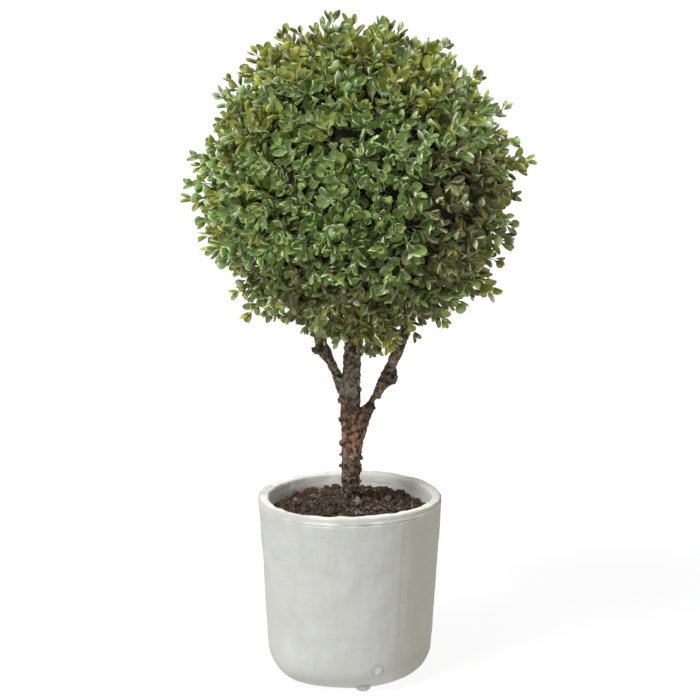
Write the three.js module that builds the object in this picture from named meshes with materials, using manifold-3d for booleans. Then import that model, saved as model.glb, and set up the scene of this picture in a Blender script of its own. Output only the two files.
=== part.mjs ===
// A box topiary ball in its pot: a clipped ball of small round leaves on a rough stem with two side
// boughs, set in soil that fills a cement pot with a rounded foot. Millimetres, Z up, with the origin
// at the centre of the pot's flat underside. The side seen first is -Y, with +X to its right.

import * as THREE from "three";
import { mergeVertices } from "three/addons/utils/BufferGeometryUtils.js";
import Module from "manifold-3d";

const wasm = await Module();
wasm.setup();

// Gap kept between pieces that rest on each other
const SEAT_GAP = 0.3;

// Pot: flat underside, rounded foot, a side that flares a little, and a round lip
const POT_HEIGHT = 123;
const POT_RIM_RADIUS = 61.9;
const POT_FOOT_RADIUS = 34;
const POT_SIDE_RADIUS = 55.6;
const POT_CORNER_HEIGHT = 21;
const POT_WALL = 7;
const POT_FLOOR = 10;
const POT_SIDES = 44;
const CORNER_STEPS = 5;
const LIP_STEPS = 6;

// Soil: level near the wall, heaped a little round the stem
const SOIL_EDGE_Z = 115.5;
const SOIL_HEAP = 2.5;
const SOIL_LUMP = 1.3;
const SOIL_RINGS = 7;

// Ground level, where the stem has its flat cut
const GROUND_Z = 117;

// Limbs: centre line and radius at a few heights, from the foot up, as [x, y, z, radius]
const TRUNK = {
  stations: [
    [0.6, 0, GROUND_Z, 7.1],
    [0.6, 0, 124, 6.1],
    [0.7, 0, 140, 6.3],
    [0.9, 0, 160, 6.8],
    [0.3, 0, 188, 6.8],
    [1.3, 0, 212, 5.8],
    [2.0, 0, 236, 5.3],
    [3.2, 0, 262, 4.6],
  ],
  knots: [
    { at: 0.27, angle: 0, reach: 1.3, spread: 0.02 },
    { at: 0.35, angle: -0.2, reach: 1.3, spread: 0.02 },
    { at: 0.42, angle: 0.2, reach: 1.2, spread: 0.025 },
    { at: 0.4, angle: 3.3, reach: 1, spread: 0.02 },
    { at: 0.55, angle: 3, reach: 1.2, spread: 0.02 },
    { at: 0.76, angle: 0.1, reach: 1.3, spread: 0.02 },
    { at: 0.48, angle: -1.6, reach: 1.2, spread: 0.03 },
    { at: 0.33, angle: 1.8, reach: 1.3, spread: 0.03 },
    { at: 0.62, angle: 1.5, reach: 1.2, spread: 0.03 },
  ],
  sides: 14,
  rings: 34,
};
const RIGHT_BOUGH = {
  stations: [
    [1.6, 0, 150, 5.2],
    [6.4, -0.5, 170, 4.9],
    [12.4, -1, 186, 4.2],
    [17.5, -1, 193.5, 2.8],
    [25.0, -1, 204, 5.2],
    [28.0, 0, 214, 3.2],
    [32.4, 1, 229, 3.3],
    [37.0, 2, 246, 2.7],
    [41.5, 3, 268, 2.2],
  ],
  knots: [
    { at: 0.5, angle: 0, reach: 1.7, spread: 0.04 },
    { at: 0.47, angle: 3.1, reach: 1.3, spread: 0.05 },
    { at: 0.31, angle: -0.4, reach: 1.8, spread: 0.02 },
    { at: 0.74, angle: 0.3, reach: 1.1, spread: 0.025 },
  ],
  sides: 11,
  rings: 26,
};
const LEFT_BOUGH = {
  stations: [
    [0.4, 0, 183, 4.4],
    [-4.4, -0.5, 196, 4.9],
    [-8.9, -1, 206.5, 3.9],
    [-12.6, -1.5, 216, 3.0],
    [-18.4, -2, 224, 4.4],
    [-21.0, -2, 232, 3.0],
    [-26.0, -2, 246, 2.5],
    [-31.5, -1, 268, 2.1],
  ],
  knots: [
    { at: 0.56, angle: 3.1, reach: 2.6, spread: 0.03 },
    { at: 0.6, angle: 0.4, reach: 1.2, spread: 0.04 },
    { at: 0.2, angle: 3.3, reach: 1.4, spread: 0.03 },
  ],
  sides: 11,
  rings: 24,
};
const BARK_RELIEF = 0.05;

// Clipped ball: sprigs stand out of a rounded core and their leaf tips reach the outline
const BALL_CENTRE = new THREE.Vector3(4.6, 0, 335.5);
const BALL_RADIUS = 113;
const CORE_RADIUS = 95;
const CORE_DETAIL = 4;
const CORE_UNEVEN = 2.6;
const SEED = 20508;
const SPRIGS = 88;
const SPRIG_LEAN = 0.3;
const SPRIG_SHORTEST = 0.93;
const SPRIG_ROOT_DEPTH = 9;
const STEM_FOOT_RADIUS = 1.7;
const STEM_TIP_RADIUS = 1.0;
const LEAF = { length: 19, width: 13.5, thickness: 1.1, cup: 1.6, widest: 0.58, offset: 0.1 };
// Each whorl of three leaves on a sprig: how far up the stem, and how far it spreads from it
const WHORLS = [
  { up: 0.7, spread: 1.2 },
  { up: 1, spread: 0.75 },
];
// Leaves between the sprigs, each straight out of the core: how deep its root is, and its lean
const LOW_LEAVES = 380;
const LOW_LEAF_ROOT_DEPTH = 4;
const LOW_LEAF_LEAN = [0.55, 1.05];
// Sprigs that stray past the clipped outline: bearing from +X, rise above the middle, and reach
const STRAYS = [
  { bearing: -8, rise: 9, reach: 117 },
  { bearing: 184, rise: -5, reach: 116 },
  { bearing: 200, rise: 81, reach: 117 },
  { bearing: -12, rise: -37, reach: 118 },
  { bearing: 190, rise: -50, reach: 116 },
  { bearing: 75, rise: 24, reach: 116 },
  { bearing: 120, rise: -20, reach: 116 },
  { bearing: -72, rise: -72, reach: 113 },
  { bearing: 18, rise: -79, reach: 113 },
];
const LIMB_CLEARANCE = 2.2;
const LEAF_SPACING = 10;
const SLIVER = 0.06;

const POT_COLOUR = 0xd3d5cf;
const SOIL_COLOUR = 0x3a2c24;
const BARK_COLOUR = 0x5e4a3a;
const LEAF_COLOUR = 0x5f7a3c;

let seed = SEED;

function random() {
  seed = (seed * 1664525 + 1013904223) % 4294967296;
  return seed / 4294967296;
}

// A closed geometry with its shared corners merged, as a solid that can be cut and joined.
function solidFrom(geometry) {
  const bare = geometry.index ? geometry.toNonIndexed() : geometry.clone();
  bare.deleteAttribute("normal");
  bare.deleteAttribute("uv");
  const merged = mergeVertices(bare, 1e-4);
  const mesh = new wasm.Mesh({
    numProp: 3,
    vertProperties: new Float32Array(merged.attributes.position.array),
    triVerts: new Uint32Array(merged.index.array),
  });
  return new wasm.Manifold(mesh);
}

function geometryFrom(solid) {
  const mesh = solid.getMesh();
  const positions = new Float32Array(mesh.numVert * 3);
  for (let i = 0; i < mesh.numVert; i++) {
    const start = i * mesh.numProp;
    positions.set(mesh.vertProperties.subarray(start, start + 3), i * 3);
  }
  const geometry = new THREE.BufferGeometry();
  geometry.setAttribute("position", new THREE.BufferAttribute(positions, 3));
  geometry.setIndex(new THREE.BufferAttribute(mesh.triVerts, 1));
  geometry.computeVertexNormals();
  return geometry;
}

// Keeps the largest body: loose scraps go, and a hollow sealed inside it is filled.
function largestBody(solid) {
  const bodies = solid.decompose();
  return bodies.reduce((a, b) => (b.volume() > a.volume() ? b : a));
}

function named(name, geometry, color, roughness) {
  const mesh = new THREE.Mesh(
    geometry,
    new THREE.MeshStandardMaterial({ color, roughness, metalness: 0 }),
  );
  mesh.name = name;
  return mesh;
}

// Turns a profile of [radius, height] points round the Z axis.
function turned(profile, sides) {
  const points = profile.map(([r, z]) => new THREE.Vector2(r, z));
  return new THREE.LatheGeometry(points, sides).rotateX(Math.PI / 2);
}

// Radius of the pot's outside at height z, set in by some depth of wall.
function potSide(z, inset) {
  const up = (z - POT_CORNER_HEIGHT) / (POT_HEIGHT - POT_CORNER_HEIGHT);
  const side = POT_SIDE_RADIUS + (POT_RIM_RADIUS - POT_SIDE_RADIUS) * Math.max(up, 0);
  return side - inset;
}

// The rounded foot from the flat underside to the side, as [radius, height] points.
function footCurve(inset, floor) {
  const flat = POT_FOOT_RADIUS;
  const points = [];
  for (let i = 0; i <= CORNER_STEPS; i++) {
    const turn = (i / CORNER_STEPS) * (Math.PI / 2);
    const out = POT_SIDE_RADIUS - inset - flat;
    const rise = POT_CORNER_HEIGHT - floor;
    points.push([flat + out * Math.sin(turn), floor + rise * (1 - Math.cos(turn))]);
  }
  return points;
}

function makePot() {
  const lip = POT_WALL / 2;
  const lipZ = POT_HEIGHT - lip;
  const lipRadius = potSide(lipZ, lip);
  const profile = [[0, 0], ...footCurve(0, 0)];
  profile.push([potSide(POT_HEIGHT / 2, 0), POT_HEIGHT / 2]);
  for (let i = 0; i <= LIP_STEPS; i++) {
    const turn = (i / LIP_STEPS) * Math.PI;
    profile.push([lipRadius + lip * Math.cos(turn), lipZ + lip * Math.sin(turn)]);
  }
  profile.push([potSide(POT_HEIGHT / 2, POT_WALL), POT_HEIGHT / 2]);
  profile.push(...footCurve(POT_WALL, POT_FLOOR).reverse(), [0, POT_FLOOR]);
  return solidFrom(turned(profile, POT_SIDES));
}

// Height of the soil's surface: a low heap round the stem, with lumps.
function soilTop(x, y) {
  const edge = potSide(SOIL_EDGE_Z, POT_WALL);
  const inward = 1 - Math.min(Math.hypot(x, y) / edge, 1);
  const mounds = Math.sin(0.2 * x + 1.1) * Math.sin(0.23 * y + 0.4);
  const clods = Math.sin(0.52 * x - 0.44 * y) * Math.cos(0.4 * x + 0.5 * y);
  const lumps = (mounds + 0.8 * clods) * Math.min(3 * inward, 1);
  return SOIL_EDGE_Z + SOIL_HEAP * Math.sqrt(inward) + SOIL_LUMP * lumps;
}

function makeSoil() {
  const inset = POT_WALL + SEAT_GAP;
  const floor = POT_FLOOR + SEAT_GAP;
  const edge = potSide(SOIL_EDGE_Z, inset);
  const profile = [[0, floor], ...footCurve(inset, floor)];
  profile.push([potSide(POT_HEIGHT / 2, inset), POT_HEIGHT / 2]);
  for (let ring = 0; ring <= SOIL_RINGS; ring++) {
    profile.push([edge * (1 - ring / SOIL_RINGS), SOIL_EDGE_Z]);
  }
  const geometry = turned(profile, POT_SIDES);
  const place = geometry.attributes.position;
  for (let i = 0; i < place.count; i++) {
    if (place.getZ(i) > SOIL_EDGE_Z - SEAT_GAP) {
      place.setZ(i, soilTop(place.getX(i), place.getY(i)));
    }
  }
  return solidFrom(geometry);
}

// The seat that the stem's flat cut stands in.
function stemSeat() {
  const [x, y, z, radius] = TRUNK.stations[0];
  const depth = 20;
  const reach = radius * (1 + BARK_RELIEF) + SEAT_GAP;
  const seat = new THREE.CylinderGeometry(reach, reach, depth, 2 * TRUNK.sides);
  return solidFrom(seat.rotateX(Math.PI / 2).translate(x, y, z - SEAT_GAP + depth / 2));
}

function centreLine(limb) {
  const points = limb.stations.map(([x, y, z]) => new THREE.Vector3(x, y, z));
  return new THREE.CatmullRomCurve3(points);
}

function radiusAt(limb, t) {
  const place = t * (limb.stations.length - 1);
  const below = Math.min(Math.floor(place), limb.stations.length - 2);
  const share = place - below;
  return THREE.MathUtils.lerp(limb.stations[below][3], limb.stations[below + 1][3], share);
}

// How far the bark stands out at a place on a limb: shallow ridges, and the limb's own knots.
function barkAt(limb, t, angle) {
  let out = 1 + BARK_RELIEF * Math.sin(3 * angle + 34 * t) * Math.cos(2 * angle - 57 * t);
  for (const knot of limb.knots) {
    const along = (t - knot.at) / knot.spread;
    const around = Math.cos(angle - knot.angle);
    if (around > 0) {
      out += (knot.reach / radiusAt(limb, t)) * around ** 3 * Math.exp(-along * along);
    }
  }
  return out;
}

// A limb as one tapering solid along its centre line, thickened all over by grow.
function limbSolid(limb, grow = 0) {
  const line = centreLine(limb);
  const geometry = new THREE.CylinderGeometry(1, 1, 1, limb.sides, limb.rings);
  const place = geometry.attributes.position;
  const acrossAxis = new THREE.Vector3(0, 1, 0);
  for (let i = 0; i < place.count; i++) {
    const t = Math.round((place.getY(i) + 0.5) * limb.rings) / limb.rings;
    const angle = Math.atan2(-place.getZ(i), place.getX(i));
    const onRim = Math.hypot(place.getX(i), place.getZ(i)) > 0.5;
    const along = line.getTangent(t);
    const side = new THREE.Vector3().crossVectors(acrossAxis, along).normalize();
    const front = new THREE.Vector3().crossVectors(along, side);
    const out = onRim ? radiusAt(limb, t) * barkAt(limb, t, angle) + grow : 0;
    const at = line.getPoint(t);
    at.addScaledVector(side, out * Math.cos(angle)).addScaledVector(front, out * Math.sin(angle));
    if (t === 0) {
      at.z = limb.stations[0][2] - grow;
    }
    if (t === 1) {
      at.addScaledVector(along, grow);
    }
    place.setXYZ(i, at.x, at.y, at.z);
  }
  return solidFrom(geometry);
}

const LIMBS = [TRUNK, RIGHT_BOUGH, LEFT_BOUGH];

function nearLimb(point) {
  return LIMBS.some((limb) => {
    const line = centreLine(limb);
    for (let i = 0; i <= limb.rings; i++) {
      const t = i / limb.rings;
      if (line.getPoint(t).distanceTo(point) < radiusAt(limb, t) + LIMB_CLEARANCE) {
        return true;
      }
    }
    return false;
  });
}

// How far the clipped outline reaches from the ball's centre in a direction.
function outline(direction) {
  const { x, y, z } = direction;
  const uneven = Math.sin(4 * x + 3 * z + 1) + Math.sin(5 * z - 4 * y) + Math.sin(6 * y + 5 * x + 2);
  return BALL_RADIUS * (1 + 0.008 * uneven);
}

function core() {
  const geometry = new THREE.IcosahedronGeometry(CORE_RADIUS, CORE_DETAIL);
  const place = geometry.attributes.position;
  const point = new THREE.Vector3();
  for (let i = 0; i < place.count; i++) {
    point.fromBufferAttribute(place, i);
    const bumps = Math.sin(0.09 * point.x + 0.7) * Math.sin(0.1 * point.y) + Math.sin(0.11 * point.z);
    point.setLength(CORE_RADIUS + CORE_UNEVEN * bumps).add(BALL_CENTRE);
    place.setXYZ(i, point.x, point.y, point.z);
  }
  return solidFrom(geometry);
}

// A leaf of eight faces from its root, along axis, with its blade lying across the normal.
function leaf(root, axis, normal, scale) {
  const geometry = new THREE.OctahedronGeometry(1);
  const across = new THREE.Vector3().crossVectors(axis, normal);
  const basis = new THREE.Matrix4().makeBasis(across, axis, normal).setPosition(root);
  const place = geometry.attributes.position;
  for (let i = 0; i < place.count; i++) {
    const [x, y, z] = [place.getX(i), place.getY(i), place.getZ(i)];
    const along = Math.abs(y) > 0.5 ? (y + 1) / 2 : LEAF.widest;
    const sunk = Math.abs(x) > 0.5 || y > 0.5 ? 0 : Math.abs(y) > 0.5 ? 0 : -LEAF.cup;
    place.setXYZ(
      i,
      (x * LEAF.width * scale) / 2,
      along * LEAF.length * scale,
      (z * LEAF.thickness) / 2 + sunk,
    );
  }
  return geometry.applyMatrix4(basis);
}

const leafMiddles = [];

// The leaf as a solid, or nothing where it would touch a limb or crowd a leaf that is there already.
function placedLeaf(root, along, normal, scale) {
  const tip = root.clone().addScaledVector(along, LEAF.length * scale);
  const middle = root.clone().lerp(tip, LEAF.widest);
  if (nearLimb(tip) || nearLimb(middle) || leafMiddles.some((m) => m.distanceTo(middle) < LEAF_SPACING)) {
    return [];
  }
  leafMiddles.push(middle);
  return [solidFrom(leaf(root, along, normal, scale))];
}

// A three-sided stem from foot along axis, with one of its faces towards side.
function stem(foot, axis, length, side) {
  const geometry = new THREE.CylinderGeometry(STEM_TIP_RADIUS, STEM_FOOT_RADIUS, length, 3);
  geometry.rotateY(Math.PI).translate(0, length / 2, 0);
  const across = new THREE.Vector3().crossVectors(axis, side);
  return geometry.applyMatrix4(new THREE.Matrix4().makeBasis(across, axis, side).setPosition(foot));
}

// A unit vector square to axis, turned round it by angle.
function sideways(axis, angle) {
  const start = Math.abs(axis.z) < 0.8 ? new THREE.Vector3(0, 0, 1) : new THREE.Vector3(1, 0, 0);
  return start.cross(axis).normalize().applyAxisAngle(axis, angle);
}

// One sprig that stands out of the core towards direction, with whorls of leaves up to its tip.
function sprig(direction, reach) {
  const lean = sideways(direction, random() * 2 * Math.PI);
  const axis = direction.clone().addScaledVector(lean, SPRIG_LEAN * random()).normalize();
  const turn = random() * 2 * Math.PI;
  const scale = 0.9 + 0.2 * random();
  const top = WHORLS[WHORLS.length - 1];
  const foot = direction.clone().multiplyScalar(CORE_RADIUS - SPRIG_ROOT_DEPTH).add(BALL_CENTRE);
  const tip = direction.clone().multiplyScalar(reach).add(BALL_CENTRE);
  const length = tip.distanceTo(foot) - LEAF.length * scale * Math.cos(top.spread);
  const end = foot.clone().addScaledVector(axis, length);
  if (nearLimb(end) || nearLimb(foot.clone().lerp(end, 0.5))) {
    return [];
  }
  const pieces = [solidFrom(stem(foot, axis, length, sideways(axis, turn)))];
  for (const { up, spread } of WHORLS) {
    const node = foot.clone().addScaledVector(axis, length * up - STEM_TIP_RADIUS);
    for (let i = 0; i < 3; i++) {
      const side = sideways(axis, turn + (i * 2 * Math.PI) / 3);
      const opening = spread * (0.88 + 0.24 * random());
      const root = node.clone().addScaledVector(side, LEAF.offset);
      const along = axis.clone().multiplyScalar(Math.cos(opening)).addScaledVector(side, Math.sin(opening));
      const normal = axis.clone().multiplyScalar(Math.sin(opening)).addScaledVector(side, -Math.cos(opening));
      pieces.push(...placedLeaf(root, along, normal, scale));
    }
  }
  return pieces;
}

// A leaf that stands straight out of the core and leans over it.
function lowLeaf(direction) {
  const side = sideways(direction, random() * 2 * Math.PI);
  const lean = THREE.MathUtils.lerp(...LOW_LEAF_LEAN, random());
  const scale = 0.9 + 0.2 * random();
  const root = direction.clone().multiplyScalar(CORE_RADIUS - LOW_LEAF_ROOT_DEPTH).add(BALL_CENTRE);
  const along = direction.clone().multiplyScalar(Math.cos(lean)).addScaledVector(side, Math.sin(lean));
  const normal = direction.clone().multiplyScalar(Math.sin(lean)).addScaledVector(side, -Math.cos(lean));
  return placedLeaf(root, along, normal, scale);
}

// Unit vectors spread evenly over a sphere.
function evenDirection(i, count) {
  const z = 1 - (2 * i + 1) / count;
  const bearing = i * Math.PI * (3 - Math.sqrt(5));
  const flat = Math.sqrt(1 - z * z);
  return new THREE.Vector3(flat * Math.cos(bearing), flat * Math.sin(bearing), z);
}

function strayDirection({ bearing, rise }) {
  const [b, r] = [THREE.MathUtils.degToRad(bearing), THREE.MathUtils.degToRad(rise)];
  return new THREE.Vector3(Math.cos(r) * Math.cos(b), Math.cos(r) * Math.sin(b), Math.sin(r));
}

function makeFoliage(limbsGrown) {
  const pieces = [core()];
  for (const stray of STRAYS) {
    pieces.push(...sprig(strayDirection(stray), stray.reach));
  }
  for (let i = 0; i < SPRIGS; i++) {
    const direction = evenDirection(i, SPRIGS);
    const reach = outline(direction) * THREE.MathUtils.lerp(SPRIG_SHORTEST, 1, random());
    pieces.push(...sprig(direction, reach));
  }
  for (let i = 0; i < LOW_LEAVES; i++) {
    pieces.push(...lowLeaf(evenDirection(i, LOW_LEAVES)));
  }
  const joined = wasm.Manifold.union(pieces);
  const clear = limbsGrown.reduce((solid, limb) => solid.subtract(limb), joined);
  return largestBody(clear.simplify(SLIVER));
}

const trunkGrown = limbSolid(TRUNK, SEAT_GAP);
const limbsGrown = LIMBS.map((limb) => limbSolid(limb, SEAT_GAP));

const plant = new THREE.Group();
plant.add(named("pot", geometryFrom(makePot()), POT_COLOUR, 0.85));
plant.add(named("soil", geometryFrom(makeSoil().subtract(stemSeat())), SOIL_COLOUR, 1));
plant.add(named("trunk", geometryFrom(limbSolid(TRUNK)), BARK_COLOUR, 0.95));
for (const [name, limb] of [
  ["right_bough", RIGHT_BOUGH],
  ["left_bough", LEFT_BOUGH],
]) {
  const cut = largestBody(limbSolid(limb).subtract(trunkGrown));
  plant.add(named(name, geometryFrom(cut), BARK_COLOUR, 0.95));
}
plant.add(named("foliage_ball", geometryFrom(makeFoliage(limbsGrown)), LEAF_COLOUR, 0.6));

export default plant;
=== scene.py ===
import math

import bmesh
import bpy
import numpy as np
from mathutils import Matrix, Quaternion, Vector


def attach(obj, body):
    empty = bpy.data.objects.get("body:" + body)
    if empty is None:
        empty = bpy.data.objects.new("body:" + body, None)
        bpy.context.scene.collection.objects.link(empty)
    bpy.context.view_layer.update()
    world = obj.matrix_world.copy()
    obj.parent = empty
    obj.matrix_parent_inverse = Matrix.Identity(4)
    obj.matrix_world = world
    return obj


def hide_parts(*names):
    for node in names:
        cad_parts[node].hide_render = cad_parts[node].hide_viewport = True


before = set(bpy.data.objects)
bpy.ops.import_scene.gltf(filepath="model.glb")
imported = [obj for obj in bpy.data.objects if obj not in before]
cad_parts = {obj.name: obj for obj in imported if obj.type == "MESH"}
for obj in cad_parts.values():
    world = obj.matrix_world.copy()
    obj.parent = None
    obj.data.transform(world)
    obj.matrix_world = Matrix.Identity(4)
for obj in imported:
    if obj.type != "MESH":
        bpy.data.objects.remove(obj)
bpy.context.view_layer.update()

MM = 0.001

# Pot, in metres: flat underside, rounded foot, a side that flares a little, and a folded lip
POT_HEIGHT = 123 * MM
POT_RIM_RADIUS = 61.9 * MM
POT_SIDE_RADIUS = 55.6 * MM
POT_CORNER = 20.5 * MM
POT_WALL = 7 * MM
POT_FLOOR = 10 * MM
POT_INNER_RADIUS = POT_RIM_RADIUS - POT_WALL
# Out to here the lip's top is limed all over and drawn lighter still: limewash with a painted highlight
LIP_TOP_RADIUS = 60.6 * MM
LIP_ROUNDING = 1.7 * MM
GROOVE_Z = 118.4 * MM
# The groove's depth in millimetres, and the bearings between which it shows
GROOVE_DEPTH = 0.6
GROOVE_ENDS = (-122, -38)
# Heights between the rings of faces up the side, and how many rings there are
RING_STEP = 1.6 * MM
RINGS = 57
# Places where the pot is out of true: place, push and reach, in millimetres
PUSHES = [
    ((22, -52, 123), (0, 0, 2), 80),
    ((7, -41, 1.5), (0, -0.3, 0), 7),
    ((-30, -46, 60), (-0.3, -0.4, 0), 16),
    ((-36, -33, 6), (-2.2, -2.2, 0), 34),
    ((30, -36, 8), (-0.3, 0.5, 0), 26),
]

# Drops of limewash that dried at the foot: middle and size in millimetres
DRIPS = {
    "drip_on_foot": ((17.8, -50.7, 17.2), (8.4, 3.2, 9.6)),
    "drip_under_foot": ((8.6, -44.4, 3.6), (10.4, 8.4, 7.0)),
}
# Depths down the lip's outer face in millimetres, and painted light there: above 0 a painted highlight
# in lime colour, full lime at 1, below 0 painted shade darker than the side
LIP_DEPTHS = [0.2, 0.9, 1.9, 2.5, 3.9, 4.6, 5.3, 6.0]
LIP_PAINTED_LIGHT = [0.5, -0.25, 0.1, 0.7, 0.45, -0.45, 0.4, 0]
# Ridges that the trowel left up the side: bearing, half width in degrees, and height in millimetres
RIDGES = [(-57.5, 1.6, 0.34), (-54.6, 1.4, -0.26), (-49.5, 1.8, 0.22), (-98, 3, -0.14), (-141, 4, 0.18)]

# Soil: its edge and its heap round the stem, and loose crumbs and clods on it
SOIL_EDGE_Z = 110.6 * MM
SOIL_HEAP = 6.4 * MM
SOIL_DEPTH = 22 * MM
SOIL_RINGS = 20
# Lying all over the soil: how many, the smallest, the spread of sizes, and how deep they sink
SCATTERED = [(2300, 1.2, 2.6, -0.1), (230, 3.5, 5.0, 0.0)]
# From this size on a crumb is a clod
CLOD_SIZE = 3.4
# Shapes of crumbs, then of clods: stretch, roughness, and number and detail of the shape
CRUMB_SHAPES = [
    ((1.1, 0.8, 0.7), 0.16, 3, 1), ((1.3, 0.7, 0.8), 0.18, 8, 1), ((0.9, 1.0, 0.75), 0.2, 21, 1),
    ((1.7, 0.55, 0.5), 0.1, 34, 1), ((1.1, 0.85, 0.75), 0.08, 5, 2), ((1.2, 0.8, 0.6), 0.09, 13, 2),
]
# Darkest and lightest tone of the dark and of the light crumbs
CRUMB_TONES = {
    "dark": ((37, 30, 26), (92, 76, 64)),
    "light": ((84, 69, 58), (156, 133, 114)),
}
# Clods heaped behind and at the stem: how many, first bearing, span, distance, its spread, and the
# spread of sizes
HEAPED = [(34, 38, 104, 48.4, -4, 4), (12, 200, 140, 10, 4, 2.5)]

# Limbs: places and radii in millimetres, from the foot up
TRUNK = [
    (0.6, 0, 113, 6.9), (0.6, 0, 120, 6.3), (0.7, 0, 140, 6.5), (0.9, 0, 160, 6.8),
    (0.3, 0, 188, 6.9), (1.3, 0, 212, 6), (2, 0, 236, 5.7), (3.2, 0, 262, 5),
]
RIGHT_BOUGH = [
    (1.6, 0, 150, 5.2), (6.4, -0.5, 170, 5.2), (11, -1, 182.5, 4.5), (14.6, -1, 188.5, 2.4),
    (17.6, -1, 193, 2.7), (21, -1, 198.5, 3.9), (25.6, -1, 204.5, 6), (27.6, 0, 212, 3.6),
    (29.6, 0.5, 218, 4), (32, 1, 224, 4), (36, 2, 234, 3.4), (39.6, 2.5, 248, 2.8),
    (43, 3, 268, 2.1),
]
LEFT_BOUGH = [
    (0.4, 0, 183, 4.6), (-4.4, -0.5, 196, 4.4), (-8.9, -1, 206.5, 3.4),
    (-12.8, -1.5, 215.5, 3.3), (-18.4, -2, 225.5, 4.9), (-21, -2, 232, 2.9),
    (-26, -2, 246, 2.6), (-31.5, -1, 268, 2.1),
]
LIMBS = (TRUNK, RIGHT_BOUGH, LEFT_BOUGH)
# Burrs and stubs on the bark: foot, tip and foot radius in millimetres
BURRS = [
    ((5, -0.5, 162), (8.6, -1, 163), 2.6), ((5, -1.5, 149), (8.4, -2, 150.2), 2.8),
    ((5, 0, 141), (7.9, 0, 140.6), 2.4), ((-4, -1.5, 177), (-7.3, -1.6, 175.6), 2.6),
    ((-4, -1, 160), (-7, -1.2, 159.2), 2.4), ((-4, -1, 190), (-8.2, -1, 188.4), 3),
    ((-5, -1, 152), (-7.6, -1.4, 151.6), 1.6), ((-5, 0, 144), (-7.5, 0, 143.2), 1.8),
    ((5, -2, 176), (8.6, -2.4, 174.6), 2), ((5, -1, 156), (8, -1.2, 155.6), 1.7),
    ((5, -1.5, 134), (7.8, -2, 133.6), 1.7), ((5, -1, 222), (8.6, -1.2, 220.8), 2.7),
    ((15, -2, 188), (17, -2.6, 183.4), 1.7), ((16.8, -1.5, 192.6), (20, -2.2, 190.6), 2),
    ((26, -1, 204), (31.6, -1, 202.4), 3.8), ((25, -1, 204), (20.2, -1.4, 206.6), 3),
    ((27, -1, 206), (29.4, -1.4, 211.4), 3), ((-18, -2, 224), (-25.6, -2.2, 224), 3.4),
    ((-18, -2, 227), (-22, -2.4, 231), 2.8), ((2.4, -4, 157), (2.8, -7.8, 156.4), 2.4),
    ((-2.6, -4, 172), (-3, -7.8, 171), 2.4), ((1.2, 4, 150), (1.4, 8, 149.2), 2.6),
    ((-2, 4, 178), (-2.2, 8, 177.2), 2.4), ((3, 4, 196), (3.4, 7.6, 195.4), 2.4),
    ((-0.5, -4, 136), (-0.8, -7.6, 135.4), 2.4), ((2, -4, 206), (2.4, -7.2, 205.2), 2.4),
]
# How dark the bark is on its way up: share of the way from 110 to 270 mm, and darkness
BARK_SHADES = [
    (0.1, 0.62), (0.24, 0.42), (0.28, 0.1), (0.38, 0.1), (0.44, 0.46),
    (0.51, 0.4), (0.55, 0.08), (0.66, 0.2), (0.74, 0.36),
]
# Patches of colour on the bark: place and reach in millimetres
LICHEN = [((-2, -6, 199), 10), ((1, 6, 186), 8), ((-3, -6, 148), 6), ((4, 6, 140), 6)]
YELLOW_PATCHES = [((18, -4, 192), 4.2), ((31, -2, 221), 3.5), ((-6, 4, 203), 3.5)]
DARK_PATCHES = [((25.6, -4, 205), 9), ((-20, -4, 226), 8), ((16.6, -3, 184.5), 3.6)]

# Clipped ball: sprigs stand out of a rounded core and their leaf tips reach the outline
BALL_CENTRE = np.array([4.6, 0, 335.5])
BALL_RADIUS = 113
CORE_RADIUS = 77
SPRIGS = 720
SPRIG_LEAN = 0.95
SPRIG_SHORTEST = 0.87
SPRIG_LENGTH = 24
LEAF_LENGTH = 10
LOW_LEAVES = 900
# Leaf shapes from narrow to wide: length, width, how deep they are cupped, how far the edge curls
LEAF_SHAPES = [
    (1.04 * LEAF_LENGTH, 4.0, 0.7, 0.9),
    (1.08 * LEAF_LENGTH, 4.8, 0.85, 0.8),
    (LEAF_LENGTH, 5.6, 1.1, 1.0),
    (LEAF_LENGTH, 6.4, 1.1, 0.8),
    (0.95 * LEAF_LENGTH, 7.2, 0.95, 0.6),
]
# How steeply a leaf's halves rise from its midrib
LEAF_FOLD = 0.42
# Whorls of three leaves on a sprig: share of the way up, spread, size, and lean to narrow shapes
WHORLS = [
    (0.1, 1.18, 1.16, 0.7), (0.4, 1.02, 1.14, 0.8), (0.7, 0.8, 1.08, 1.4), (1, 0.5, 0.86, 2.6),
]
# Places where the sprigs are short and the dark inside shows: how many, and how wide
HOLLOWS = 50
HOLLOW_REACH = 0.845
HOLLOW_WIDTH = 0.08
# Darker gaps that run in from the front: place right of the ball's middle and above it, and half width
FRONT_GAPS = [
    (34, -27.1, 6.4), (-3.8, 30.1, 5.5), (-12.6, 31.3, 4.5), (52.2, -17.7, 4.4),
    (38.4, 0.5, 4.5), (19.5, -5.2, 4.5), (42.8, -36, 3), (69.2, -2, 4.5),
    (61, -18.9, 3.5), (44.7, -41.6, 4), (69.8, -22.1, 4), (73, -10.2, 3.5),
    (7.5, -14, 3.5), (61, -39.1, 4), (3.8, -62.4, 4), (-40.9, 1.8, 4),
    (81.8, -8.3, 3.5), (47.2, 35.7, 2.6),
]
# How much the gaps drop on their way in
GAP_DROP = 0.152
# Sprigs that fill the front between the others: bearing from +X, rise above the middle, and reach
FILLING = [
    (-117, -12, 106), (-113, -15, 104), (-90, -2, 106), (-91, -16, 105),
    (-105, -30, 106), (-102, -27, 104), (-89, 10, 102), (-87, -5, 102),
    (-84, -16, 103), (-108, -5, 102), (-101, -17, 102), (-82, -36, 102),
    (-112, -33, 102),
]
# Where the leaves get the most painted shade, drawn browner: bearing from +X and rise above the middle
SHADY_SIDE = (-40, -8)
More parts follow.
